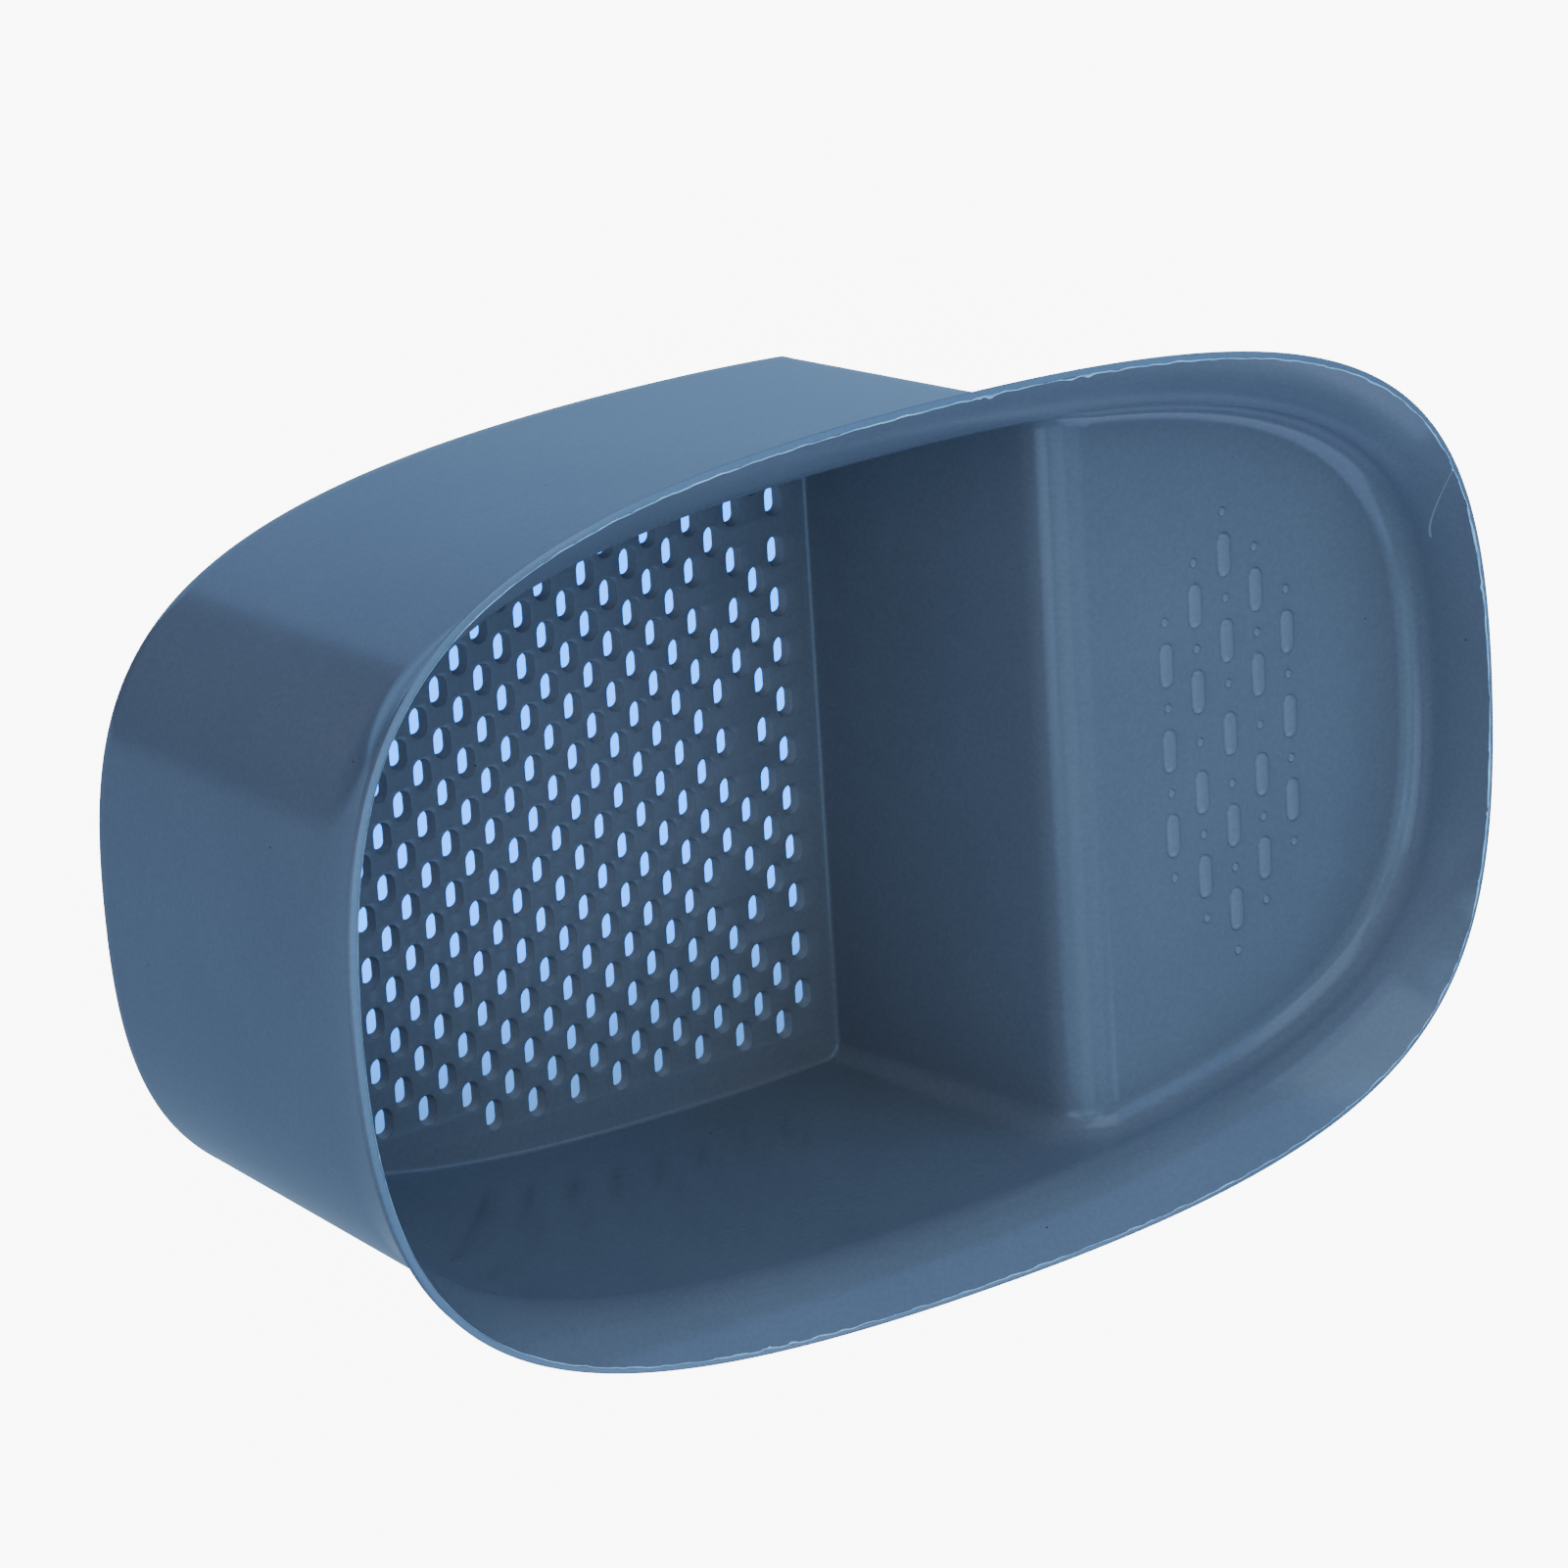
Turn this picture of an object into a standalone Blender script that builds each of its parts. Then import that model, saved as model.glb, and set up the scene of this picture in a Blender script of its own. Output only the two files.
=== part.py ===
"""Sink drain basket: a deep strainer bin with a shallow shelf beside it, under one flared rim.

The basket is one thin shell. Two outlines seen from above set its inside face: the body's, at the foot
of the wall, and the mouth's, at the rim. Its regions are separate solids with a fine seam between them.
+X runs from the bin to the shelf and +Z is up. The origin is under the middle of the basket, on the
surface that it stands on.
"""
import math

import bmesh
import bpy

for item in list(bpy.data.objects):
    bpy.data.objects.remove(item, do_unlink=True)

MM = 0.001

# Walls and seams
wall = 1.8 * MM
floor_thickness = 2.2 * MM
seam = 0.3 * MM

# Mouth: the inner edge of the rim, seen from above
basket_height = 91.0 * MM
mouth_length = 262.0 * MM
mouth_width = 170.0 * MM
mouth_widest_x = 3.0 * MM
mouth_left_shares = (0.807, 0.751)
mouth_right_shares = (0.863, 0.728)

# Body: the inside face of the wall at its foot, seen from above
body_length = 255.0 * MM
body_width = 145.4 * MM
body_widest_x = 1.0 * MM
body_left_shares = (0.905, 0.658)
body_right_shares = (0.925, 0.578)
wall_lean = 2.0 * MM

# Flare of the rim above the wall
flare_height = 13.8 * MM
flare_power = 1.8
flare_level_shares = (0.0, 0.15, 0.35, 0.55, 0.77, 1.0)

# Divider between bin and shelf
divider_foot_x = 33.2 * MM
divider_lean = 6.56 * MM
divider_edge_radius = 10.5 * MM
divider_corner_radius = 3.2 * MM
edge_steps = 6

# Shelf, measured down from the mouth to its floor
shelf_depth = 20.4 * MM
shelf_fillet = 5.0 * MM
fillet_steps = 4

# Slots of the strainer floor: staggered columns, counted from the divider, and rows from the middle
slot_width = 3.9 * MM
slot_length = 6.1 * MM
column_pitch = 5.0 * MM
row_pitch = 5.125 * MM
slot_margin = 8.5 * MM
last_column_gap = 7.9 * MM
blank_places = {(1, 8), (2, 1), (3, 6)}

# Grip pattern of the shelf: long studs and round studs take turns, in a lozenge of five columns
grip_centre_x = 81.7 * MM
grip_column_pitch = 7.64 * MM
grip_row_pitch = 8.6 * MM
grip_middle_gap = 1.6 * MM
grip_outer_column = 2
grip_reach = 5
pill_width = 3.9 * MM
pill_length = 9.2 * MM
pill_height = 0.9 * MM
dot_width = 1.9 * MM
dot_length = 2.1 * MM
dot_height = 0.7 * MM
stud_shoulder_share = 0.65
stud_draw_in_share = 0.3

# Materials
slate_blue = (0.085, 0.15, 0.25, 1.0)
smooth_angle = 35

# Fineness of the curves
quarter_steps = 16
side_steps = 5
slot_end_steps = 3
pill_end_steps = 4
dot_end_steps = 3

# What follows from these
shoulder_z = basket_height - flare_height
shelf_height = basket_height - shelf_depth
divider_tilt = math.atan(divider_lean / (shelf_height - divider_edge_radius - floor_thickness))


class Outline:
    """A closed outline seen from above: four cubic quarter curves, mirrored about the X axis.

    A quarter runs from the widest place (turn 0) to an end (turn 1). Its shares are the lengths of its
    two handles, along the side and along the end. The growth widens the outline all round.
    """

    def __init__(self, length, width, widest_x, left_shares, right_shares):
        self.half_length = length / 2
        self.half_width = width / 2
        self.widest_x = widest_x
        self.left_shares = left_shares
        self.right_shares = right_shares

    def quarter(self, side, turn, growth):
        """A point of the right quarter (side 1) or of the left quarter (side -1), on the +Y half."""
        shares = self.right_shares if side > 0 else self.left_shares
        reach = self.half_length - side * self.widest_x + growth
        back = 1 - turn
        early = 3 * back * back * turn
        late = 3 * back * turn * turn
        x = reach * (early * shares[0] + late + turn ** 3)
        y = (self.half_width + growth) * (back ** 3 + early + late * shares[1])
        return self.widest_x + side * x, y

    def turn_at(self, x, growth):
        """The turn at which the right quarter passes x, found by halving."""
        low = 0.0
        high = 1.0
        for _ in range(40):
            middle = (low + high) / 2
            if self.quarter(1, middle, growth)[0] < x:
                low = middle
            else:
                high = middle
        return low

    def half_width_at(self, x, growth):
        return self.quarter(1, self.turn_at(x, growth), growth)[1]

    def closed(self, growth):
        """All points, counter-clockwise from the right end."""
        shares = [i / quarter_steps for i in range(quarter_steps + 1)]
        upper = [self.quarter(1, share, growth) for share in reversed(shares)]
        upper += [self.quarter(-1, share, growth) for share in shares[1:]]
        return upper + [(x, -y) for x, y in reversed(upper[1:-1])]

    def left_of(self, x, growth):
        """The points left of x, counter-clockwise from the +Y side to the -Y side."""
        cut = self.turn_at(x, growth)
        upper = [self.quarter(1, cut * (1 - i / side_steps), growth) for i in range(side_steps)]
        upper += [self.quarter(-1, i / quarter_steps, growth) for i in range(quarter_steps + 1)]
        return upper + [(px, -py) for px, py in reversed(upper[:-1])]

    def right_of(self, x, growth):
        """The points right of x, counter-clockwise from the -Y side to the +Y side."""
        cut = self.turn_at(x, growth)
        span = 1 - cut
        upper = [self.quarter(1, 1 - span * i / quarter_steps, growth) for i in range(quarter_steps + 1)]
        return [(px, -py) for px, py in reversed(upper[1:])] + upper


body = Outline(body_length, body_width, body_widest_x, body_left_shares, body_right_shares)
mouth = Outline(mouth_length, mouth_width, mouth_widest_x, mouth_left_shares, mouth_right_shares)


def lean_at(z):
    """How far the inside face of the wall stands outside the body's outline at height z."""
    return wall_lean * z / shoulder_z


def divider_profile(offset):
    """The divider in X and Z, from the ground up its flat and round its top edge to the shelf.

    Offset 0 gives its face towards the bin, and a wider offset lies that far inside the basket.
    """
    centre_z = shelf_height - divider_edge_radius
    start_z = centre_z + divider_edge_radius * math.sin(divider_tilt)
    start_x = divider_foot_x + (start_z - floor_thickness) * math.tan(divider_tilt)
    centre_x = start_x + divider_edge_radius * math.cos(divider_tilt)
    foot_z = wall * math.sin(divider_tilt)
    foot_x = divider_foot_x + (foot_z - floor_thickness) * math.tan(divider_tilt)
    points = [(foot_x - offset / math.cos(divider_tilt), foot_z)]
    radius = divider_edge_radius + offset
    for i in range(edge_steps + 1):
        angle = math.pi - divider_tilt - (math.pi / 2 - divider_tilt) * i / edge_steps
        points.append((centre_x + radius * math.cos(angle), centre_z + radius * math.sin(angle)))
    return points


shelf_start_x = divider_profile(0.0)[-1][0]
floor_end_x = divider_profile(0.0)[0][0]


def corner_radius_at(z):
    """The radius between the side walls and the divider, which grows into the shelf's rounded step."""
    return divider_corner_radius + (shelf_fillet - divider_corner_radius) * z / shelf_height


def plastic(name, colour, roughness):
    material = bpy.data.materials.new(name)
    material.use_nodes = True
    shader = material.node_tree.nodes["Principled BSDF"]
    shader.inputs["Base Color"].default_value = colour
    shader.inputs["Roughness"].default_value = roughness
    shader.inputs["Metallic"].default_value = 0.0
    material.diffuse_color = colour
    return material


def place(name, mesh, material):
    """Puts a mesh into the part's collection under its own name, smooth but for its real edges."""
    mesh.materials.append(material)
    mesh.shade_smooth()
    mesh.set_sharp_from_angle(angle=math.radians(smooth_angle))
    item = bpy.data.objects.new(name, mesh)
    parts.objects.link(item)
    return item


def lofted(name, rows, closed=False, floor=False):
    """A surface through rows of points, with its faces turned away from the inside of the basket."""
    shape = bmesh.new()
    rings = [[shape.verts.new(point) for point in row] for row in rows]
    count = len(rings[0])
    for low, high in zip(rings, rings[1:]):
        for i in range(count if closed else count - 1):
            j = (i + 1) % count
            shape.faces.new((low[i], low[j], high[j], high[i]))
    if floor:
        shape.faces.new(list(reversed(rings[0])))
    mesh = bpy.data.meshes.new(name)
    shape.to_mesh(mesh)
    shape.free()
    return mesh


def thicken(item):
    """Gives a surface the wall's thickness, away from the inside of the basket."""
    skin = item.modifiers.new("wall", "SOLIDIFY")
    skin.thickness = wall
    skin.offset = 1.0
    skin.use_even_offset = True
    skin.use_quality_normals = True


def at_height(points, z):
    return [(x, y, z) for x, y in points]


def bin_wall_rows():
    """The bin's wall: it ends where the rounded corners of the divider and of the shelf start."""
    ends = []
    for i, (_, z) in enumerate(divider_profile(0.0)):
        ends.append(divider_profile(corner_radius_at(z) + seam)[i])
    ends[0] = (ends[0][0], wall * wall_lean / shoulder_z)
    ends.append((shelf_start_x, shoulder_z - seam))
    return [at_height(body.left_of(x, lean_at(z)), z) for x, z in ends]


def divider_rows():
    """The divider: straight across, and rounded into the side walls at both ends."""
    rows = []
    for i, (_, face_z) in enumerate(divider_profile(0.0)):
        radius = corner_radius_at(face_z)
        side = []
        for step in range(fillet_steps + 1):
            angle = math.pi / 2 * step / fillet_steps
            x, z = divider_profile(radius * (1 - math.cos(angle)))[i]
            y = body.half_width_at(x, lean_at(z)) - radius * (1 - math.sin(angle))
            side.append((x, y, z))
        rows.append([(x, -y, z) for x, y, z in reversed(side)] + side)
    return rows


def shelf_rows():
    """The shelf: its floor's edge, the rounded step all round and the low wall above it."""
    start_x = shelf_start_x + seam
    rows = []
    for i in range(fillet_steps + 1):
        angle = math.pi / 2 * i / fillet_steps
        inset = shelf_fillet * (1 - math.sin(angle))
        z = shelf_height + shelf_fillet * (1 - math.cos(angle))
        rows.append(at_height(body.right_of(start_x, lean_at(z) - inset), z))
    top = shoulder_z - seam
    rows.append(at_height(body.right_of(start_x, lean_at(top)), top))
    return rows


def flange_rows():
    """The flare: it leaves the wall upright and leans out more and more towards the mouth."""
    foot = body.closed(wall_lean)
    edge = mouth.closed(0.0)
    rows = []
    for share in flare_level_shares:
        out = share ** flare_power
        ring = [(a + (c - a) * out, b + (d - b) * out) for (a, b), (c, d) in zip(foot, edge)]
        rows.append(at_height(ring, shoulder_z + flare_height * share))
    return rows


def stadium(width, length, end_steps):
    """A long round-ended outline, long along Y, counter-clockwise."""
    radius = width / 2
    straight = (length - width) / 2
    points = []
    for side in (1, -1):
        for i in range(end_steps + 1):
            angle = math.pi * i / end_steps
            points.append((side * radius * math.cos(angle), side * (straight + radius * math.sin(angle))))
    return points


def is_inside(x, y, outline):
    inside = False
    for (ax, ay), (bx, by) in zip(outline, outline[1:] + outline[:1]):
        if (ay > y) != (by > y) and x < ax + (bx - ax) * (y - ay) / (by - ay):
            inside = not inside
    return inside


def slot_places():
    """Centres of the slots: a staggered lattice that keeps its margin to the wall."""
    field = body.closed(-slot_margin)
    first_x = divider_foot_x - last_column_gap
    columns = int((first_x + body_length / 2) / column_pitch) + 1
    rows = int(body_width / 2 / row_pitch) + 1
    places = []
    for column in range(columns):
        for row in range(-rows, rows + 1):
            if (column + row) % 2 == 0 or (column, abs(row)) in blank_places:
                continue
            x = first_x - column * column_pitch
            y = row * row_pitch
            if is_inside(x, y, field):
                places.append((x, y))
    return places


def add_loop(curve, points):
    loop = curve.splines.new("POLY")
    loop.points.add(len(points) - 1)
    for knot, (x, y) in zip(loop.points, points):
        knot.co = (x, y, 0.0, 1.0)
    loop.use_cyclic_u = True


def floor_outline():
    """The floor's outline: a seam inside the wall, and rounded at the divider like the wall."""
    radius = corner_radius_at(floor_thickness)
    centre_x = floor_end_x - radius
    centre_y = body.half_width_at(centre_x, 0.0) - radius
    points = body.left_of(centre_x, -seam)[1:-1]
    for side in (-1, 1):
        for step in range(fillet_steps + 1):
            angle = math.pi / 2 * (step / fillet_steps + (side - 1) / 2)
            x = centre_x + (radius - seam) * math.cos(angle)
            points.append((x, side * centre_y + (radius - seam) * math.sin(angle)))
    return points


def floor_mesh():
    """The strainer floor: its outline and its slots as one flat filled curve with thickness."""
    curve = bpy.data.curves.new("strainer_floor", "CURVE")
    curve.dimensions = "2D"
    curve.fill_mode = "BOTH"
    curve.extrude = floor_thickness / 2
    add_loop(curve, floor_outline())
    for x, y in slot_places():
        add_loop(curve, [(x + px, y + py) for px, py in stadium(slot_width, slot_length, slot_end_steps)])
    pattern = bpy.data.objects.new("strainer_floor_pattern", curve)
    guides.objects.link(pattern)
    pattern.location.z = floor_thickness / 2
    bpy.context.view_layer.update()
    mesh = bpy.data.meshes.new_from_object(pattern.evaluated_get(bpy.context.evaluated_depsgraph_get()))
    mesh.transform(pattern.matrix_world)
    shape = bmesh.new()
    shape.from_mesh(mesh)
    bmesh.ops.remove_doubles(shape, verts=shape.verts, dist=seam / 10)
    bmesh.ops.recalc_face_normals(shape, faces=shape.faces)
    shape.to_mesh(mesh)
    shape.free()
    bpy.data.objects.remove(pattern, do_unlink=True)
    return mesh


def grip_places(long_studs):
    """Centres of the long studs, or of the round ones between them."""
    places = []
    for column in range(-grip_outer_column, grip_outer_column + 1):
        reach = grip_reach - abs(column)
        for row in range(-reach, reach + 1):
            if ((row + column) % 2 == 0) != long_studs:
                continue
            y = row * grip_row_pitch
            if row and abs(column) < grip_outer_column:
                y += math.copysign(grip_middle_gap, row)
            places.append((grip_centre_x + column * grip_column_pitch, y))
    return places


def add_studs(shape, outline, draw_in, height, places):
    """Low studs, rooted in the shelf's floor: upright, then drawn in to the top."""
    width, length, end_steps = outline
    foot = stadium(width, length, end_steps)
    top = stadium(width - draw_in, length - draw_in, end_steps)
    levels = ((foot, shelf_height - wall / 2),
              (foot, shelf_height + height * stud_shoulder_share),
              (top, shelf_height + height))
    for x, y in places:
        rings = [[shape.verts.new((x + px, y + py, z)) for px, py in ring] for ring, z in levels]
        count = len(foot)
        for low, high in zip(rings, rings[1:]):
            for i in range(count):
                j = (i + 1) % count
                shape.faces.new((low[i], low[j], high[j], high[i]))
        shape.faces.new(list(reversed(rings[0])))
        shape.faces.new(rings[-1])


def grip_studs():
    """All studs of the shelf as one guide object, to be joined to the shelf."""
    shape = bmesh.new()
    pill = (pill_width, pill_length, pill_end_steps)
    dot = (dot_width, dot_length, dot_end_steps)
    add_studs(shape, pill, pill_width * stud_draw_in_share, pill_height, grip_places(True))
    add_studs(shape, dot, dot_width * stud_draw_in_share, dot_height, grip_places(False))
    mesh = bpy.data.meshes.new("grip_studs")
    shape.to_mesh(mesh)
    shape.free()
    studs = bpy.data.objects.new("grip_studs", mesh)
    studs.hide_render = True
    studs.display_type = "WIRE"
    guides.objects.link(studs)
    return studs


parts = bpy.data.collections.new("sink_drain_basket")
guides = bpy.data.collections.new("guides")
for collection in (parts, guides):
    bpy.context.scene.collection.children.link(collection)

thicken(place("bin_wall", lofted("bin_wall", bin_wall_rows()), plastic("bin_wall", slate_blue, 0.35)))
place("strainer_floor", floor_mesh(), plastic("strainer_floor", slate_blue, 0.4))
thicken(place("divider_wall", lofted("divider_wall", divider_rows()),
              plastic("divider_wall", slate_blue, 0.35)))
shelf = place("shelf_tray", lofted("shelf_tray", shelf_rows(), floor=True),
              plastic("shelf_tray", slate_blue, 0.4))
thicken(shelf)
join = shelf.modifiers.new("studs", "BOOLEAN")
join.operation = "UNION"
join.solver = "EXACT"
join.object = grip_studs()
thicken(place("rim_flange", lofted("rim_flange", flange_rows(), closed=True),
              plastic("rim_flange", slate_blue, 0.35)))
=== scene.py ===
"""Looks of the sink drain basket: one thin moulding, worked out from the outlines of its body and mouth.

The inside face is a set of grids that share their edges. It is welded, its points are carried outwards
by the wall's thickness to make the outside face, and rows of points close the rim and the foot between
the two. The slotted floor is filled in last. Lengths are metres, and angles are radians.
"""
import math

import bmesh
import bpy
import numpy as np
from mathutils import Matrix, Vector


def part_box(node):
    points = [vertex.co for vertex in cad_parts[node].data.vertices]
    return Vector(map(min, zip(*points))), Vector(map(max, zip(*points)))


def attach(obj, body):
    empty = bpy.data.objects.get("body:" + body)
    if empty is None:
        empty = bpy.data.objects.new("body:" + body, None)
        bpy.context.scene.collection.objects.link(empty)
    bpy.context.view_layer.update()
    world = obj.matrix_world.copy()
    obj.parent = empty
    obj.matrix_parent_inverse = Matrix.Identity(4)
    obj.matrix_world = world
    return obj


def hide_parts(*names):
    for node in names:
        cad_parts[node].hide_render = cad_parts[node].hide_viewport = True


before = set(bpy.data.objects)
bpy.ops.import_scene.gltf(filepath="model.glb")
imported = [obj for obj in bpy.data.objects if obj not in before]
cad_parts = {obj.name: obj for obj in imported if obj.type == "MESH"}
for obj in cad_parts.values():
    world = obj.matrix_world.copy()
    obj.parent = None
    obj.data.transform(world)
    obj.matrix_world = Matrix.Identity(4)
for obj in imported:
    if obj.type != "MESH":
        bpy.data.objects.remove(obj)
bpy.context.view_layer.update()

MM = 0.001

# Places taken from the frame
mouth_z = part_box("rim_flange")[1][2]
floor_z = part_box("strainer_floor")[1][2]

# Wall, rim and foot
wall = 1.8 * MM
wall_lean = 2.0 * MM
crease_angle = math.radians(50)
flare_height = 13.8 * MM
flare_power = 1.8
shoulder_z = mouth_z - flare_height
inner_foot_radius = 0.9 * MM
outer_foot_radius = 1.0 * MM
floor_margin = 2.4 * MM
rim_edge_reach = 1.31 * MM
rim_edge_drop = 0.61 * MM
flash_width = 0.36 * MM
flash_height = 0.12 * MM
flash_steps = 1400
flash_section = ((-0.45, -1.6), (-0.4, -0.2), (-0.1, 1.0), (0.35, 0.6), (0.6, -0.8), (0.1, -1.8))
flash_swells = (9, 23)
flash_sways = (97, 29)
burr_places = ((11.6, 85.1), (30.4, 83.7), (34.3, 83.7), (89.2, 74.4))
burr_reach = 0.9 * MM
flash_fade_from = -70 * MM
flash_fade_to = -110 * MM
flash_fade_least = 0.2
flash_seed = 7
burr_start = 0.78
burr_growth = 5
placed_burr = 1.6

# Divider and shelf
divider_foot_x = 33.2 * MM
divider_lean = 6.56 * MM
divider_edge_radius = 10.5 * MM
divider_corner_radius = 3.2 * MM
shelf_depth = 20.4 * MM
step_reach = 4.6 * MM
step_rise = 6.3 * MM
shelf_z = mouth_z - shelf_depth
step_top_z = shelf_z + step_rise
divider_tilt = math.atan(divider_lean / (shelf_z - divider_edge_radius - floor_z))

# Slots of the floor: staggered columns, counted from the divider, and rows from the middle
slot_width = 3.8 * MM
slot_length = 6.2 * MM
slot_edge_round = 0.12 * MM
slot_draft = 0.5 * MM
column_pitch = 5.0 * MM
row_pitch = 5.125 * MM
slot_margin = 8.5 * MM
last_column_gap = 7.9 * MM
blank_places = {(1, 8), (2, 1), (3, 6)}
slot_end_steps = 7

# Grip studs of the shelf: long ones and round ones take turns, in a lozenge of five columns
grip_centre_x = 81.7 * MM
grip_column_pitch = 7.64 * MM
grip_row_pitch = 8.6 * MM
grip_middle_gap = 1.6 * MM
grip_outer_column = 2
grip_reach = 5
pill_width = 3.7 * MM
pill_length = 9.1 * MM
pill_height = 0.75 * MM
pill_end_steps = 10
dot_width = 2.0 * MM
dot_length = 2.04 * MM
dot_height = 0.5 * MM
dot_end_steps = 8
stud_fullness = 2.6
stud_sunk = 0.3 * MM
stud_rings = (1.0, 0.97, 0.92, 0.85, 0.76, 0.64, 0.5, 0.34, 0.18, 0.06)

# A scratch on the flange beside the shelf: an arc, seen from above
scratch_centre = (177.64 * MM, 49.2 * MM)
scratch_radius = 54.64 * MM
scratch_half_width = 0.05 * MM
scratch_middle = (124.2 * MM, 39.8 * MM)
scratch_reach = 8.0 * MM

# Fineness, and how close two points are when they are taken for one
side_steps = 12
left_steps = 90
right_steps = 80
fillet_steps = 10
lean_steps = 16
edge_steps = 16
flare_steps = 20
shelf_floor_steps = 10
foot_steps = 6
weld_grid = 0.002 * MM
weld_reach = 0.005 * MM

# Which faces get a paler colour as painted light: how far down, and how much their normal looks up
rim_edge_slack = 0.15 * MM
rim_edge_upward = 0.1
slot_wall_start = 0.1 * MM
slot_wall_upward = 0.05


class Outline:
    """A closed outline seen from above: four cubic quarter curves, mirrored about the X axis.

    With the turn t from 0 at the widest place to 1 at an end and b = 1 - t, a quarter's point is
    x = reach (3 b b t s1 + 3 b t t + t t t) and y = half width (b b b + 3 b b t + 3 b t t s2).
    """

    def __init__(self, length, width, widest_x, left_shares, right_shares):
        self.half_length = length / 2
        self.half_width = width / 2
        self.widest_x = widest_x
        self.left_shares = left_shares
        self.right_shares = right_shares

    def quarter(self, side, turn, growth):
        """X and Y on the +Y half, of the right quarter (side 1) or of the left quarter (side -1)."""
        shares = self.right_shares if side > 0 else self.left_shares
        reach = self.half_length - side * self.widest_x + growth
        back = 1 - turn
        early = 3 * back * back * turn
        late = 3 * back * turn * turn
        x = reach * (early * shares[0] + late + turn ** 3)
        y = (self.half_width + growth) * (back ** 3 + early + late * shares[1])
        return self.widest_x + side * x, y

    def turn_at(self, x, growth):
        """The turn at which the right quarter passes x, found by halving."""
        low, high = 0.0, 1.0
        for _ in range(40):
            middle = (low + high) / 2
            if self.quarter(1, middle, growth)[0] < x:
                low = middle
            else:
                high = middle
        return low

    def half_width_at(self, x, growth):
        return self.quarter(1, self.turn_at(x, growth), growth)[1]

    def left_of(self, cut, growth):
        """Points from the cut on the +Y side round the left end to the cut on the -Y side."""
        near = self.quarter(1, cut * (1 - np.arange(side_steps) / side_steps), growth)
        far = self.quarter(-1, np.linspace(0, 1, left_steps + 1), growth)
        upper = np.column_stack([np.concatenate([near[0], far[0]]), np.concatenate([near[1], far[1]])])
        return np.vstack([upper, upper[-2::-1] * (1, -1)])

    def right_of(self, cut, growth):
        """Points from the cut on the -Y side round the right end to the cut on the +Y side."""
        turn = 1 - (1 - cut) * np.linspace(0, 1, right_steps + 1)
        upper = np.column_stack(self.quarter(1, turn, growth))
        return np.vstack([upper[:0:-1] * (1, -1), upper])

    def ring(self, cut, growth):
        """All points, counter-clockwise from the cut on the -Y side."""
        return np.vstack([self.right_of(cut, growth), self.left_of(cut, growth)[1:-1]])


body = Outline(255 * MM, 145.4 * MM, 1 * MM, (0.905, 0.658), (0.925, 0.578))
mouth = Outline(262 * MM, 170 * MM, 3 * MM, (0.807, 0.751), (0.863, 0.728))


def lean_at(z):
    """How far the inside face of the wall stands outside the body's outline at height z."""
    return wall_lean * z / shoulder_z


def at_height(points, z):
    return np.column_stack([points, np.full(len(points), z)])


# The divider's section

def divider_section():
    """The divider's face in X and Z, with its inward direction and the corner's radii at each point.

    It runs up the leaning flat from just above the floor and then round the top edge to the shelf. The
    inward direction turns from level at the foot to upright on the shelf. The corner's radii, across the
    face and away from it, grow with the height, so that the corner runs into the shelf's rounded step.
    """
    centre_z = shelf_z - divider_edge_radius
    start_z = centre_z + divider_edge_radius * math.sin(divider_tilt)
    start_x = divider_foot_x + (start_z - floor_z) * math.tan(divider_tilt)
    centre_x = start_x + divider_edge_radius * math.cos(divider_tilt)
    flat_z = np.linspace(floor_z + inner_foot_radius, start_z, lean_steps, endpoint=False)
    flat_x = divider_foot_x + (flat_z - floor_z) * math.tan(divider_tilt)
    flat_angle = np.linspace(math.pi, math.pi - divider_tilt, lean_steps, endpoint=False)
    angle = np.linspace(math.pi - divider_tilt, math.pi / 2, edge_steps + 1)
    x = np.concatenate([flat_x, centre_x + divider_edge_radius * np.cos(angle)])
    z = np.concatenate([flat_z, centre_z + divider_edge_radius * np.sin(angle)])
    angle = np.concatenate([flat_angle, angle])
    across = divider_corner_radius + (step_reach - divider_corner_radius) * z / shelf_z
    away = divider_corner_radius + (step_rise - divider_corner_radius) * z / shelf_z
    return np.column_stack([x, z]), np.column_stack([np.cos(angle), np.sin(angle)]), across, away


face, inward, corner_across, corner_away = divider_section()
wall_end = face + inward * corner_away[:, None]
shelf_start_x = face[-1, 0]
shelf_cut = body.turn_at(shelf_start_x, lean_at(step_top_z))


# The inside face, grid by grid

def rim_grid():
    """Rows of the flare: the wall's outline at the shoulder, and from there the share h of the height
    carries each point towards the mouth's outline by h to the flare's power."""
    foot = body.ring(shelf_cut, wall_lean)
    edge = mouth.ring(shelf_cut, 0.0)
    rows = [at_height(body.ring(shelf_cut, lean_at(step_top_z)), step_top_z)]
    for share in np.linspace(0, 1, flare_steps + 1):
        out = share ** flare_power
        rows.append(at_height(foot + (edge - foot) * out, shoulder_z + flare_height * share))
    return np.array(rows)


def bin_grid():
    """Rows of the bin's wall: at each height the body's outline, leaning out, up to the divider."""
    rows = []
    for x, z in wall_end:
        cut = body.turn_at(x, lean_at(z))
        rows.append(at_height(body.left_of(cut, lean_at(z)), z))
    return np.array(rows)


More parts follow.
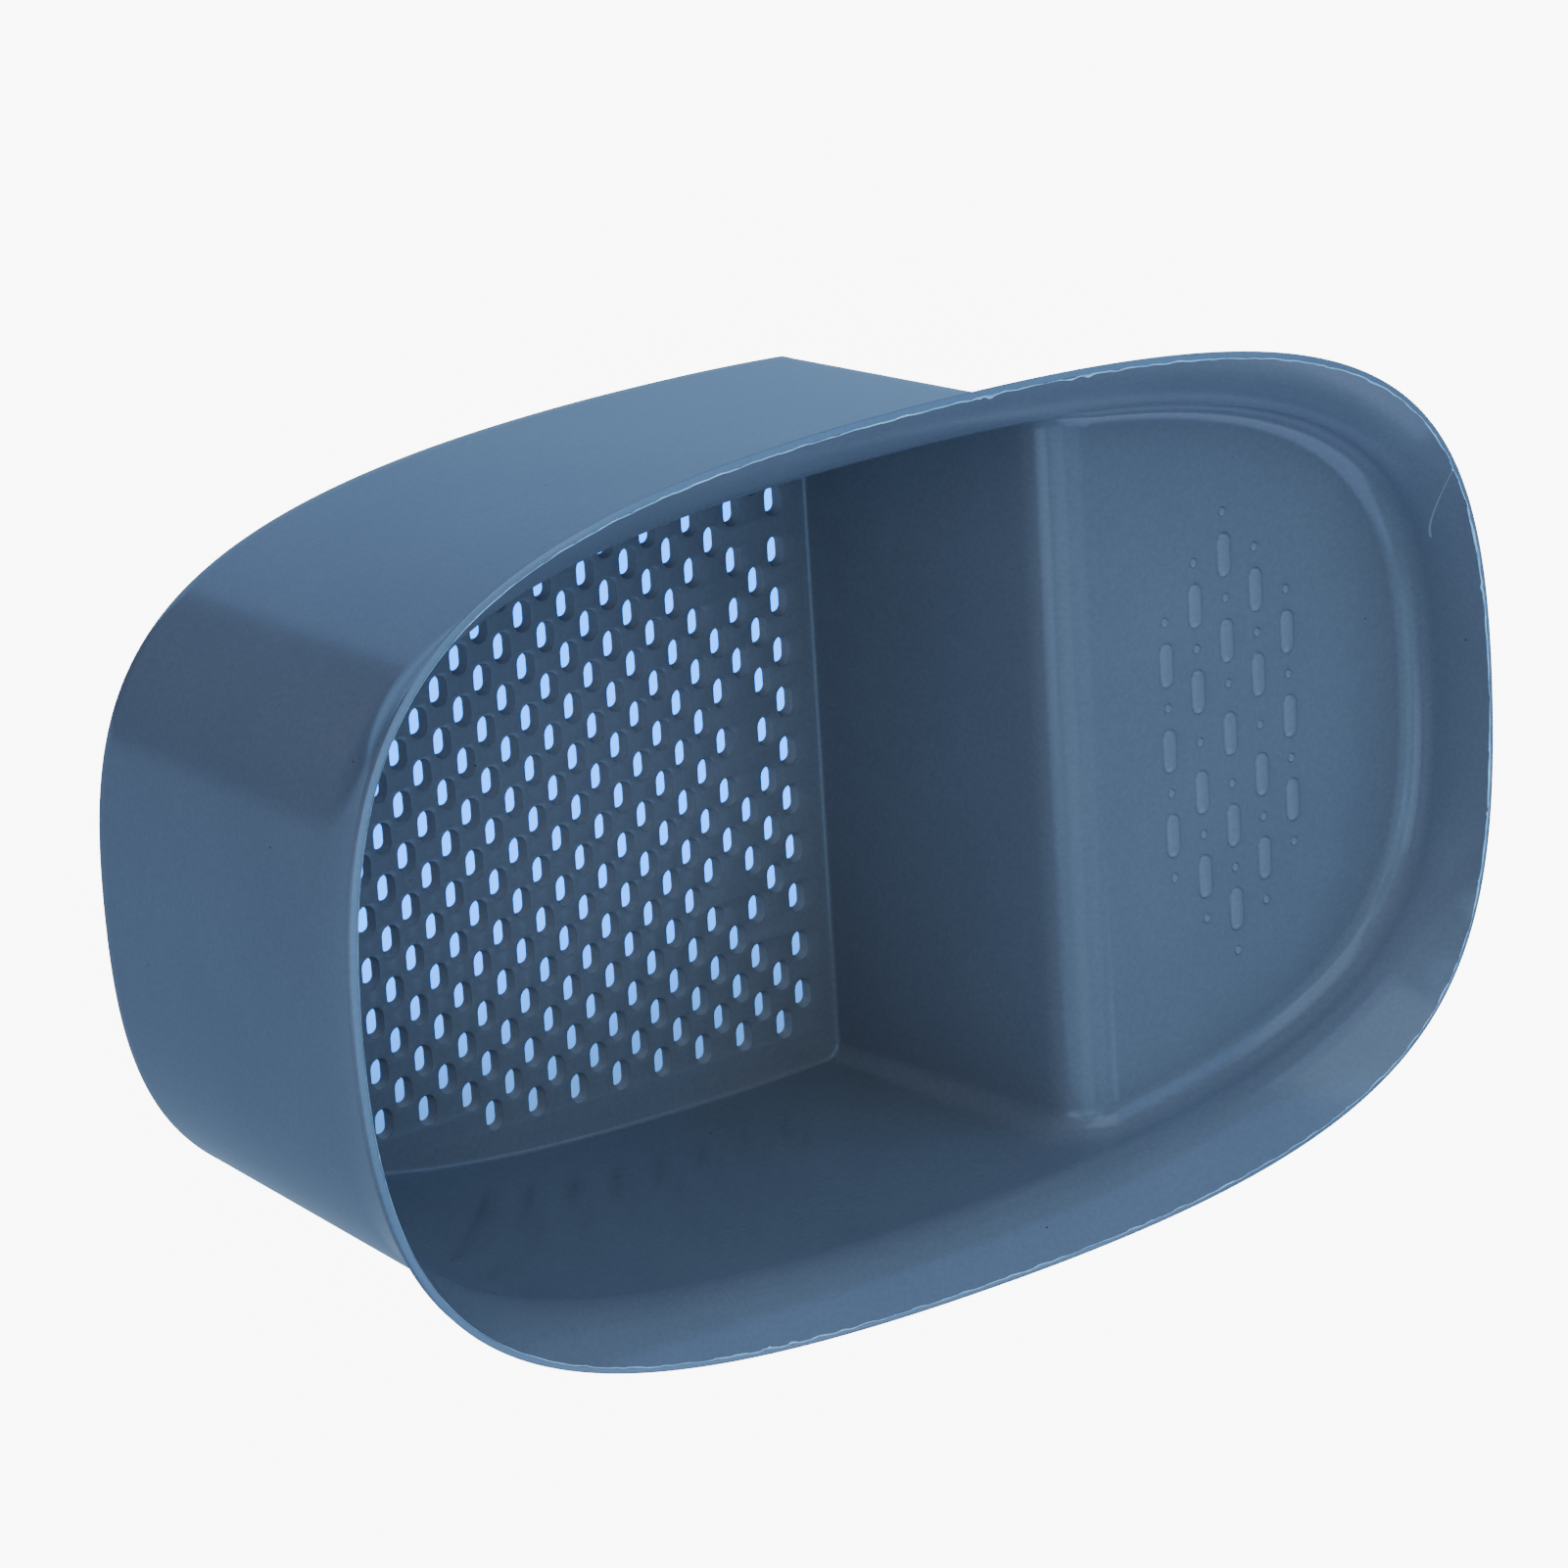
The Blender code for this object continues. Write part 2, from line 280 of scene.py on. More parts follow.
def divider_grid():
    """Rows across the divider: a quarter-round corner, the straight face and the other corner.

    At the corner's angle a, a point lies one radius times 1 - cos a away from the face, and the other
    radius times 1 - sin a short of the side wall.
    """
    angle = np.linspace(0, math.pi / 2, fillet_steps + 1)
    rows = []
    for (x, z), (along_x, along_z), across, away in zip(face, inward, corner_across, corner_away):
        deep = away * (1 - np.cos(angle))
        px = x + along_x * deep
        pz = z + along_z * deep
        short = across * (1 - np.sin(angle))
        py = np.array([body.half_width_at(a, lean_at(b)) for a, b in zip(px, pz)]) - short
        side = np.column_stack([px, py, pz])
        straight = np.linspace(-py[0], py[0], 2 * right_steps + 1)[1:-1]
        middle = np.column_stack([np.full(len(straight), x), straight, np.full(len(straight), z)])
        rows.append(np.vstack([side[::-1] * (1, -1, 1), middle, side]))
    return np.array(rows)


def shelf_grid(border):
    """Rows of the shelf: its flat floor from the divider's last row outwards, then the rounded step.

    Each row of the step is widened a trifle in Y, so that it ends on the divider's corner.
    """
    angle = np.linspace(0, math.pi / 2, fillet_steps + 1)
    step = []
    for a, end in zip(angle, border[-1 - fillet_steps:]):
        z = shelf_z + step_rise * (1 - math.cos(a))
        growth = lean_at(z) - step_reach * (1 - math.sin(a))
        row = at_height(body.right_of(body.turn_at(shelf_start_x, growth), growth), z)
        row[:, 1] *= end[1] / row[-1, 1]
        step.append(row)
    edge = step[0]
    straight = np.linspace(edge[0, 1], edge[-1, 1], len(edge))
    start = np.column_stack([np.full(len(edge), shelf_start_x), straight, edge[:, 2]])
    shares = np.linspace(0, 1, shelf_floor_steps, endpoint=False)
    return np.array([start + (edge - start) * share for share in shares] + step)


class Skin:
    """Points and faces collected from grids, with shared points welded."""

    def __init__(self):
        self.points = []
        self.faces = []
        self.count = 0

    def add(self, grid, closed=False, turned=False):
        """Adds a grid and returns the numbers of its points. Faces look to the right of the rows."""
        rows, columns = grid.shape[:2]
        index = self.count + np.arange(rows * columns).reshape(rows, columns)
        self.points.append(grid.reshape(-1, 3))
        self.count += rows * columns
        self.join(index, closed, turned)
        return index

    def join(self, index, closed=False, turned=False):
        if closed:
            index = np.column_stack([index, index[:, :1]])
        quads = np.stack([index[:-1, :-1], index[:-1, 1:], index[1:, 1:], index[1:, :-1]], axis=-1)
        quads = quads.reshape(-1, 4)
        self.faces.append(quads[:, ::-1] if turned else quads)

    def welded(self):
        """Points that fall on the same knot of a very fine grid become one."""
        points = np.vstack(self.points)
        faces = np.vstack(self.faces)
        keys = np.round(points / weld_grid).astype(np.int64)
        _, first, back = np.unique(keys, axis=0, return_index=True, return_inverse=True)
        return points[first], back.reshape(-1)[faces], back.reshape(-1)


def point_normals(points, faces):
    """Each point's direction: the sum of its faces' cross products of the diagonals, made unit length."""
    across = points[faces[:, 2]] - points[faces[:, 0]]
    along = points[faces[:, 3]] - points[faces[:, 1]]
    cross = np.cross(across, along)
    total = np.zeros_like(points)
    for corner in range(4):
        np.add.at(total, faces[:, corner], cross)
    return total / np.linalg.norm(total, axis=1, keepdims=True)


def mesh_object(name, points, faces):
    """A new piece. A face with two corners welded into one becomes a triangle."""
    mesh = bpy.data.meshes.new(name)
    corners = [list(dict.fromkeys(map(int, face))) for face in faces]
    mesh.from_pydata(points.tolist(), [], [face for face in corners if len(face) > 2])
    mesh.update()
    item = bpy.data.objects.new(name, mesh)
    bpy.context.scene.collection.objects.link(item)
    return item


# Rim, foot and floor

def loop_outwards(points):
    """Level unit vectors that point out of a closed counter-clockwise loop."""
    along = np.roll(points, -1, axis=0)[:, :2] - np.roll(points, 1, axis=0)[:, :2]
    out = np.column_stack([along[:, 1], -along[:, 0]])
    return out / np.linalg.norm(out, axis=1, keepdims=True)


def rim_rows(inner, outer):
    """The rim's edge between its inner and outer corner: flat, with both corners rounded off.

    Each row lies at the share s of the way across, lowered by the rounding near the two ends.
    """
    profile = ((0.03, 0.10), (0.10, 0.02), (0.2, 0.0), (0.8, 0.0), (0.92, 0.03), (0.98, 0.12))
    return [inner + (outer - inner) * share - (0.0, 0.0, drop * MM) for share, drop in profile]


def foot_rows(loop, out, base_z, radius, ends):
    """A quarter round from a wall to a level face, and then that face up to the floor's plate."""
    rows = []
    for angle in np.linspace(math.pi / 2, 0, foot_steps + 1)[1:]:
        row = loop.copy()
        row[:, :2] -= out * radius * (1 - math.sin(angle))
        row[:, 2] = base_z + radius * (1 - math.cos(angle))
        rows.append(row)
    last = ends.copy()
    last[:, 2] = base_z
    rows.append(last)
    return rows


def stadium(width, length, end_steps):
    """A round-ended outline, long along Y, counter-clockwise."""
    radius = width / 2
    angle = np.linspace(0, math.pi, end_steps + 1)
    half = np.column_stack([radius * np.cos(angle), (length - width) / 2 + radius * np.sin(angle)])
    return np.vstack([half, -half])


def is_inside(x, y, outline):
    ax, ay = outline.T
    bx, by = np.roll(outline, -1, axis=0).T
    crosses = (ay > y) != (by > y)
    rise = np.where(crosses, by - ay, 1.0)
    return np.sum(crosses & (x < ax + (bx - ax) * (y - ay) / rise)) % 2 == 1


def slot_places():
    """Centres of the slots: a staggered lattice that keeps its margin to the wall."""
    field = body.ring(shelf_cut, -slot_margin)
    first_x = divider_foot_x - last_column_gap
    columns = int((first_x + body.half_length) / column_pitch) + 1
    rows = int(body.half_width / row_pitch) + 1
    places = []
    for column in range(columns):
        for row in range(-rows, rows + 1):
            if (column + row) % 2 == 0 or (column, abs(row)) in blank_places:
                continue
            x, y = first_x - column * column_pitch, row * row_pitch
            if is_inside(x, y, field):
                places.append((x, y))
    return np.array(places)


def slot_collars(places):
    """The walls of all slots: each is a loop carried down through the floor, rounded at its upper edge
    and drawn in by the draft on the way to the underside."""
    r = slot_edge_round
    levels = ((r, floor_z), (0.3 * r, floor_z - 0.3 * r), (0.0, floor_z - r), (-slot_draft, 0.0))
    rows = []
    for growth, z in levels:
        loop = stadium(slot_width + 2 * growth, slot_length + 2 * growth, slot_end_steps)
        rows.append(at_height(loop, z))
    single = np.array(rows)
    shift = np.column_stack([places, np.zeros(len(places))])
    return single[None] + shift[:, None, None, :]


def plate_faces(outline, loops):
    """Fills a level outline around its holes, as triangles between the given points."""
    curve = bpy.data.curves.new("plate", "CURVE")
    curve.dimensions = "2D"
    curve.fill_mode = "FRONT"
    for loop in [outline] + loops:
        spline = curve.splines.new("POLY")
        spline.points.add(len(loop) - 1)
        flat = np.column_stack([loop, np.zeros(len(loop)), np.ones(len(loop))])
        spline.points.foreach_set("co", flat.ravel())
        spline.use_cyclic_u = True
    pattern = bpy.data.objects.new("plate", curve)
    bpy.context.scene.collection.objects.link(pattern)
    bpy.context.view_layer.update()
    mesh = bpy.data.meshes.new_from_object(pattern.evaluated_get(bpy.context.evaluated_depsgraph_get()))
    places = np.array([vertex.co[:] for vertex in mesh.vertices])
    triangles = np.array([list(polygon.vertices) for polygon in mesh.polygons])
    bpy.data.objects.remove(pattern, do_unlink=True)
    bpy.data.meshes.remove(mesh)
    return places[:, :2], triangles


def basket():
    """The whole moulding as one closed surface."""
    skin = Skin()
    rim = skin.add(rim_grid(), closed=True)
    wall_rows = skin.add(bin_grid())
    divider_rows = divider_grid()
    divider = skin.add(divider_rows)
    skin.add(shelf_grid(divider_rows[-1]))
    inner, quads, number = skin.welded()
    outer = inner + point_normals(inner, quads) * wall

    rim_loop = number[rim[-1]]
    foot_loop = np.concatenate([number[wall_rows[0]], number[divider[0]][1:-1]])
    level = np.column_stack([loop_outwards(inner[rim_loop]), np.zeros(len(rim_loop))])
    outer[rim_loop] = inner[rim_loop] + level * rim_edge_reach - (0.0, 0.0, rim_edge_drop)
    edge = rim_rows(inner[rim_loop], outer[rim_loop])

    foot_in = inner[foot_loop]
    foot_out = outer[foot_loop]
    outwards = loop_outwards(foot_in)
    plate_edge = foot_in.copy()
    plate_edge[:, :2] -= outwards * floor_margin
    inside = foot_rows(foot_in, outwards, floor_z, inner_foot_radius, plate_edge)
    outside = foot_rows(foot_out, outwards, 0.0, outer_foot_radius, plate_edge)

    shell = Skin()
    shell.points = [inner, outer]
    shell.faces = [quads[:, ::-1], quads + len(inner)]
    shell.count = 2 * len(inner)
    shell.add(np.array([inner[rim_loop], *edge, outer[rim_loop]]), closed=True, turned=True)
    shell.add(np.array([foot_in, *inside]), closed=True)
    shell.add(np.array([foot_out, *outside]), closed=True, turned=True)
    collars = slot_collars(slot_places())
    for collar in collars:
        shell.add(collar, closed=True)
    points, faces, _ = shell.welded()

    caps = []
    for row, z in ((0, floor_z), (-1, 0.0)):
        flat, triangles = plate_faces(plate_edge[:, :2], [collar[row, :, :2] for collar in collars])
        caps.append((at_height(flat, z), triangles))
    item = mesh_object("basket", points, faces)
    shape = bmesh.new()
    shape.from_mesh(item.data)
    for level, corners in caps:
        fresh = [shape.verts.new(point) for point in level]
        for corner in corners:
            shape.faces.new([fresh[i] for i in corner])
    bmesh.ops.remove_doubles(shape, verts=shape.verts, dist=weld_reach)
    bmesh.ops.recalc_face_normals(shape, faces=shape.faces)
    shape.to_mesh(item.data)
    shape.free()
    return item


def mark_painted_light_faces(mesh):
    """Gives the second material, a painted highlight, to the rim's edge, which are the faces close under the
    mouth that look up and outwards, and the third, painted light, to the slots' walls, the only faces below
    the floor that look a little up.
    """
    count = len(mesh.polygons)
    normals = np.empty(count * 3)
    centres = np.empty(count * 3)
    mesh.polygons.foreach_get("normal", normals)
    mesh.polygons.foreach_get("center", centres)
    normals, centres = normals.reshape(-1, 3), centres.reshape(-1, 3)
    outwards = np.sum(normals[:, :2] * centres[:, :2], axis=1) > 0
    high = centres[:, 2] > mouth_z - rim_edge_drop - rim_edge_slack
    # painted highlight: the rim's edge takes the paler second material
    rim_edge = outwards & high & (normals[:, 2] > rim_edge_upward)
    # painted light: the slots' walls take the paler third material
    slot_wall = (centres[:, 2] < floor_z - slot_wall_start) & (normals[:, 2] > slot_wall_upward)
    mesh.polygons.foreach_set("material_index", np.where(rim_edge, 1, np.where(slot_wall, 2, 0)))


# Grip studs

def grip_places(long_studs):
    """Centres of the long studs, or of the round ones between them."""
    places = []
    for column in range(-grip_outer_column, grip_outer_column + 1):
        reach = grip_reach - abs(column)
        for row in range(-reach, reach + 1):
            if ((row + column) % 2 == 0) != long_studs:
                continue
            y = row * grip_row_pitch
            if row and abs(column) < grip_outer_column:
                y += math.copysign(grip_middle_gap, row)
            places.append((grip_centre_x + column * grip_column_pitch, y))
    return np.array(places)


def add_studs(skin, width, length, height, places, end_steps):
    """Domed studs: the loop at the share s of its half width lies at height (1 - s to the fullness)."""
    rows = [at_height(stadium(width, length, end_steps), shelf_z - stud_sunk)]
    for share in stud_rings:
        less = width * (1 - share)
        z = shelf_z + height * (1 - share ** stud_fullness)
        rows.append(at_height(stadium(width - less, length - less, end_steps), z))
    top = rows[-1].copy()
    top[:, 0] = 0.0
    rows.append(top)
    single = np.array(rows)
    for x, y in places:
        skin.add(single + (x, y, 0.0), closed=True)


def grip_studs():
    """All the studs of the shelf as one piece, each a closed dome."""
    skin = Skin()
    add_studs(skin, pill_width, pill_length, pill_height, grip_places(True), pill_end_steps)
    add_studs(skin, dot_width, dot_length, dot_height, grip_places(False), dot_end_steps)
    points = np.vstack(skin.points)
    item = mesh_object("grip_studs", points, np.vstack(skin.faces))
    shape = bmesh.new()
    shape.from_mesh(item.data)
    bmesh.ops.remove_doubles(shape, verts=shape.verts, dist=weld_reach)
    bmesh.ops.dissolve_degenerate(shape, edges=shape.edges, dist=0.001 * MM)
    bmesh.ops.holes_fill(shape, edges=[edge for edge in shape.edges if edge.is_boundary])
    bmesh.ops.recalc_face_normals(shape, faces=shape.faces)
    shape.to_mesh(item.data)
    shape.free()
    return item


def rim_flash():
    """The thin ragged line of flash that the mould left along the rim's inner edge.

    Its section is a low ridge of six points, carried along the mouth. Two waves and a fine unevenness
    make it thicker and thinner, two others let it sway, and a few burrs stand out. It fades round the
    bin's end.
    """
    share = np.arange(flash_steps) / flash_steps
    ring = mouth.ring(shelf_cut, 0.0)
    closed = np.vstack([ring, ring[:1]])
    steps = np.linalg.norm(np.diff(closed, axis=0), axis=1)
    length = np.concatenate([[0.0], np.cumsum(steps)])
    line = np.column_stack([np.interp(share * length[-1], length, closed[:, axis]) for axis in (0, 1)])
    out = loop_outwards(line)
    chance = np.random.default_rng(flash_seed)
    fine = chance.random(flash_steps)
    fine = (fine + np.roll(fine, 1) + np.roll(fine, -1)) / 3
    burr = np.clip(np.roll(fine, 5) - burr_start, 0, 1) * burr_growth
    turn = share * 2 * math.pi
    swell = np.sin(turn * flash_swells[0] + 1.0) * np.sin(turn * flash_swells[1])
    thick = 0.45 + 0.4 * swell + 0.7 * fine
    for x, y in burr_places:
        away = np.hypot(line[:, 0] - x * MM, line[:, 1] - y * MM)
        burr = burr + placed_burr * np.exp(-(away / burr_reach) ** 2)
    fade = np.interp(line[:, 0], (flash_fade_to, flash_fade_from), (flash_fade_least, 1.0))
    thick = (thick + burr) * fade
    wave = np.sin(turn * flash_sways[0]) * np.sin(turn * flash_sways[1] + 2.0)
    sway = (0.5 * wave + 0.8 * (fine - 0.5) - 1.2 * burr) * flash_width * 0.5 * fade
    rows = []
    for across, up in flash_section:
        away = across * flash_width * thick + sway
        x, y = (line + out * away[:, None]).T
        # the ridge is flat on top, so that no point rises over the rim's own height
        z = mouth_z + np.minimum((up - 1.0) * flash_height * np.minimum(thick, 1.4), 0.0)
        rows.append(np.column_stack([x, y, z]))
    skin = Skin()
    rows.append(rows[0])
    skin.add(np.array(rows), closed=True, turned=True)
    points, faces, _ = skin.welded()
    return mesh_object("rim_flash", points, faces)


# Plastic

slate_dark = (0.096, 0.141, 0.217)
slate_pale = (0.104, 0.152, 0.233)
speck_shade = 0.25
grain_shades = (0.88, 1.12)
scratch_shade = 1.8
# the studs' colour runs from painted shade in the crease at the foot to paler towards the top
crease_painted_shade = 0.84
top_paleness = 1.22
crease_rise = 0.1 * MM
top_rise = 0.4 * MM


def node(tree, kind, **values):
    made = tree.nodes.new(kind)
    for name, value in values.items():
        setattr(made, name, value)
    return made


def shade_by(tree, colour, share, low, high):
    """Multiplies a colour by the low factor where the share is 0 and by the high one where it is 1."""
    factor = node(tree, "ShaderNodeMapRange")
    factor.inputs["To Min"].default_value = low
    factor.inputs["To Max"].default_value = high
    tree.links.new(share, factor.inputs["Value"])
    scaled = node(tree, "ShaderNodeVectorMath", operation="SCALE")
    tree.links.new(colour, scaled.inputs[0])
    tree.links.new(factor.outputs["Result"], scaled.inputs["Scale"])
    return scaled.outputs["Vector"]


def scratch_line(tree, places):
    """A thin curved scratch on the flange: 1 on an arc about a centre, within its reach, and 0 elsewhere."""
    level = node(tree, "ShaderNodeVectorMath", operation="MULTIPLY")
    level.inputs[1].default_value = (1.0, 1.0, 0.0)
    tree.links.new(places, level.inputs[0])
    shares = []
    for centre, size, half_width in ((scratch_centre, scratch_radius, scratch_half_width),
                                     (scratch_middle, 0.0, scratch_reach)):
        span = node(tree, "ShaderNodeVectorMath", operation="DISTANCE")
        span.inputs[1].default_value = (*centre, 0.0)
        tree.links.new(level.outputs["Vector"], span.inputs[0])
        inside = node(tree, "ShaderNodeMath", operation="COMPARE")
        inside.inputs[1].default_value = size
        inside.inputs[2].default_value = half_width
        tree.links.new(span.outputs["Value"], inside.inputs[0])
        shares.append(inside.outputs["Value"])
    both = node(tree, "ShaderNodeMath", operation="MULTIPLY")
    for socket, share in zip(both.inputs, shares):
        tree.links.new(share, socket)
    return both.outputs["Value"]


def moulded_plastic(name, raised=False, painted_paleness=(1.0, 1.0, 1.0)):
    """Slate blue, semi-gloss, with a faint cloudiness, a fine grain and skin, and a few dark specks in it.

    Where it is raised, on the studs, it is darker in the crease at the foot, as painted shade, and paler
    towards the top.
    The painted paleness, painted light on the rim's edge and the slots' walls, multiplies its red, green and
    blue.
    """
    material = bpy.data.materials.new(name)
    material.use_nodes = True
    tree = material.node_tree
    shader = tree.nodes["Principled BSDF"]
    link = tree.links.new
    places = node(tree, "ShaderNodeTexCoord").outputs["Object"]

    cloud = node(tree, "ShaderNodeTexNoise")
    cloud.inputs["Scale"].default_value = 28.0
    cloud.inputs["Detail"].default_value = 3.0
    link(places, cloud.inputs["Vector"])
    colours = node(tree, "ShaderNodeValToRGB")
    for stop, position, shade in zip(colours.color_ramp.elements, (0.3, 0.7), (slate_dark, slate_pale)):
        stop.position = position
        stop.color = (*(part * factor for part, factor in zip(shade, painted_paleness)), 1.0)
    link(cloud.outputs["Fac"], colours.inputs["Fac"])

    cells = node(tree, "ShaderNodeTexVoronoi")
    cells.inputs["Scale"].default_value = 80.0
    link(places, cells.inputs["Vector"])
    speck = node(tree, "ShaderNodeMapRange")
    speck.inputs["From Min"].default_value = 0.01
    speck.inputs["From Max"].default_value = 0.024
    link(cells.outputs["Distance"], speck.inputs["Value"])
    grain = node(tree, "ShaderNodeTexNoise")
    grain.inputs["Scale"].default_value = 1100.0
    grain.inputs["Detail"].default_value = 3.0
    link(places, grain.inputs["Vector"])
    shade = shade_by(tree, colours.outputs["Color"], speck.outputs["Result"], speck_shade, 1.0)
    shade = shade_by(tree, shade, grain.outputs["Fac"], *grain_shades)
    shade = shade_by(tree, shade, scratch_line(tree, places), 1.0, scratch_shade)
    # on the studs: painted shade in the crease at the foot, and paler towards the top
    if raised:
        height = node(tree, "ShaderNodeSeparateXYZ")
        link(places, height.inputs["Vector"])
        rise = node(tree, "ShaderNodeMapRange")
        rise.inputs["From Min"].default_value = shelf_z + crease_rise
        rise.inputs["From Max"].default_value = shelf_z + top_rise
        link(height.outputs["Z"], rise.inputs["Value"])
        shade = shade_by(tree, shade, rise.outputs["Result"], crease_painted_shade, top_paleness)
    link(shade, shader.inputs["Base Color"])

    skin = node(tree, "ShaderNodeTexNoise")
    skin.inputs["Scale"].default_value = 900.0
    skin.inputs["Detail"].default_value = 2.0
    link(places, skin.inputs["Vector"])
    bump = node(tree, "ShaderNodeBump")
    bump.inputs["Strength"].default_value = 0.06
    bump.inputs["Distance"].default_value = 0.0001
    link(skin.outputs["Fac"], bump.inputs["Height"])
    link(bump.outputs["Normal"], shader.inputs["Normal"])

    gloss = node(tree, "ShaderNodeMapRange")
    gloss.inputs["To Min"].default_value = 0.14
    gloss.inputs["To Max"].default_value = 0.19
    link(cloud.outputs["Fac"], gloss.inputs["Value"])
    link(gloss.outputs["Result"], shader.inputs["Roughness"])
    shader.inputs["Specular IOR Level"].default_value = 0.5
    shader.inputs["Specular Tint"].default_value = (0.35, 0.62, 1.0, 1.0)
    return material


def flash_plastic():
    """The same plastic where it is torn thin: paler and rougher, in uneven patches. It also glows faintly,
    as painted light for the light that comes through it where it is thin."""
    material = bpy.data.materials.new("torn_plastic")
    material.use_nodes = True
    tree = material.node_tree
    shader = tree.nodes["Principled BSDF"]
    patches = node(tree, "ShaderNodeTexNoise")
    patches.inputs["Scale"].default_value = 220.0
    patches.inputs["Detail"].default_value = 4.0
    tree.links.new(node(tree, "ShaderNodeTexCoord").outputs["Object"], patches.inputs["Vector"])
    colours = node(tree, "ShaderNodeValToRGB")
    colours.color_ramp.elements[0].position = 0.35
    colours.color_ramp.elements[0].color = (0.2, 0.46, 0.85, 1.0)
    colours.color_ramp.elements[1].position = 0.65
    colours.color_ramp.elements[1].color = (0.36, 0.78, 1.0, 1.0)
    tree.links.new(patches.outputs["Fac"], colours.inputs["Fac"])
    tree.links.new(colours.outputs["Color"], shader.inputs["Base Color"])
    shader.inputs["Roughness"].default_value = 0.55
    # painted light: a faint glow for the light that comes through the thin flash
    shader.inputs["Emission Color"].default_value = (0.1, 0.4, 1.0, 1.0)
    shader.inputs["Emission Strength"].default_value = 0.25
    shader.inputs["Specular Tint"].default_value = (0.35, 0.62, 1.0, 1.0)
    return material


moulding = basket()
studs = grip_studs()
flash = rim_flash()
flash.data.materials.append(flash_plastic())
flash.data.shade_smooth()
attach(flash, "root")
moulding.data.materials.append(moulded_plastic("slate_blue_plastic"))
# painted highlight: the rim's edge is paler and bluer for the light that it catches
moulding.data.materials.append(moulded_plastic("rim_edge_painted_highlight_plastic", painted_paleness=(1.0, 1.3, 1.52)))
# painted light: the slots' walls are paler for the light that comes up through the slots
moulding.data.materials.append(moulded_plastic("slot_wall_painted_light_plastic", painted_paleness=(1.7, 1.7, 1.7)))
mark_painted_light_faces(moulding.data)
studs.data.materials.append(moulded_plastic("stud_plastic", raised=True))
for piece in (moulding, studs):
    piece.data.shade_smooth()
    piece.data.set_sharp_from_angle(angle=crease_angle)
    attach(piece, "root")
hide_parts("bin_wall", "strainer_floor", "divider_wall", "shelf_tray", "rim_flange")


# Stage, light and camera

def seen_by_camera_only(item):
    """The stage is seen, but it throws no light, casts no shadow and shows in no reflection."""
    item.visible_diffuse = False
    item.visible_glossy = False
    item.visible_transmission = False
    item.visible_shadow = False


def stage_floor():
    """A pale floor that bends up into a round backdrop: a bent line turned about the Z axis, in metres."""
    bend = ((2.0, 0.0), (2.3, 0.05), (2.45, 0.2), (2.5, 0.5))
    profile = np.array([(0.0, 0.0), (0.4, 0.0), *bend, (2.5, 3.0)])
    turn = np.linspace(0, 2 * math.pi, stage_turns + 1)[:-1]
    reach = profile[:, :1]
    height = np.repeat(profile[:, 1:] - stage_drop, len(turn), axis=1)
    skin = Skin()
    skin.add(np.stack([reach * np.cos(turn), reach * np.sin(turn), height], axis=-1), closed=True)
    points, faces, _ = skin.welded()
    item = mesh_object("stage", points, faces)
    material = bpy.data.materials.new("pale_floor")
    material.use_nodes = True
    shader = material.node_tree.nodes["Principled BSDF"]
    shader.inputs["Base Color"].default_value = (0.5, 0.5, 0.5, 1.0)
    shader.inputs["Roughness"].default_value = 0.9
    shader.inputs["Specular IOR Level"].default_value = 0.0
    shader.inputs["Emission Color"].default_value = (1.0, 1.0, 1.0, 1.0)
    shader.inputs["Emission Strength"].default_value = floor_glow
    item.data.materials.append(material)
    seen_by_camera_only(item)


def glowing_sheet(name, colour, glow):
    """A material that only glows."""
    material = bpy.data.materials.new(name)
    material.use_nodes = True
    shader = material.node_tree.nodes["Principled BSDF"]
    shader.inputs["Base Color"].default_value = (0.0, 0.0, 0.0, 1.0)
    shader.inputs["Specular IOR Level"].default_value = 0.0
    shader.inputs["Emission Color"].default_value = (*colour, 1.0)
    shader.inputs["Emission Strength"].default_value = glow
    return material


def sheet_under_bin(name, drop, material):
    """A flat sheet with nearly the outline of the bin's foot, a little way below it."""
    outline = body.left_of(body.turn_at(divider_foot_x, 0.0), -sheet_margin)
    item = mesh_object(name, at_height(outline, -drop), [range(len(outline))])
    item.data.materials.append(material)
    return item


def slot_sheets():
    """A pale blue glowing sheet right under the bin, seen through its slots, as painted light, and dimmer
    towards the -Y side as painted shade; a plain one that lights the slots' walls; and a dark one that only
    the reflections show, as painted shade in them."""
    plain = glowing_sheet("underlay", underlay_shade, underlay_glow)
    under = sheet_under_bin("slot_underlay", underlay_drop, plain)
    under.visible_glossy = False
    # painted shade: a black sheet seen only in reflections, so that the bin's wall mirrors no bright slots
    dark = sheet_under_bin("slot_shade", dark_drop, glowing_sheet("dark_sheet", (0.0, 0.0, 0.0), 0.0))
    seen_by_camera_only(dark)
    dark.visible_camera = False
    dark.visible_glossy = True
    # painted light: the sheet's blue glow, dimmer towards the -Y side as painted shade
    material = glowing_sheet("pale_blue_sheet", (1.0, 1.0, 1.0), 1.0)
    tree = material.node_tree
    along = node(tree, "ShaderNodeSeparateXYZ")
    tree.links.new(node(tree, "ShaderNodeTexCoord").outputs["Object"], along.inputs["Vector"])
    share = node(tree, "ShaderNodeMapRange", interpolation_type="SMOOTHSTEP")
    share.inputs["From Min"].default_value = slot_dim_y
    share.inputs["From Max"].default_value = slot_bright_y
    tree.links.new(along.outputs["Y"], share.inputs["Value"])
    shade = blend_shades(tree, share.outputs["Result"], slot_dim_shade, slot_bright_shade)
    tree.links.new(shade, tree.nodes["Principled BSDF"].inputs["Emission Color"])
    seen_by_camera_only(sheet_under_bin("slot_sheet", sheet_drop, material))


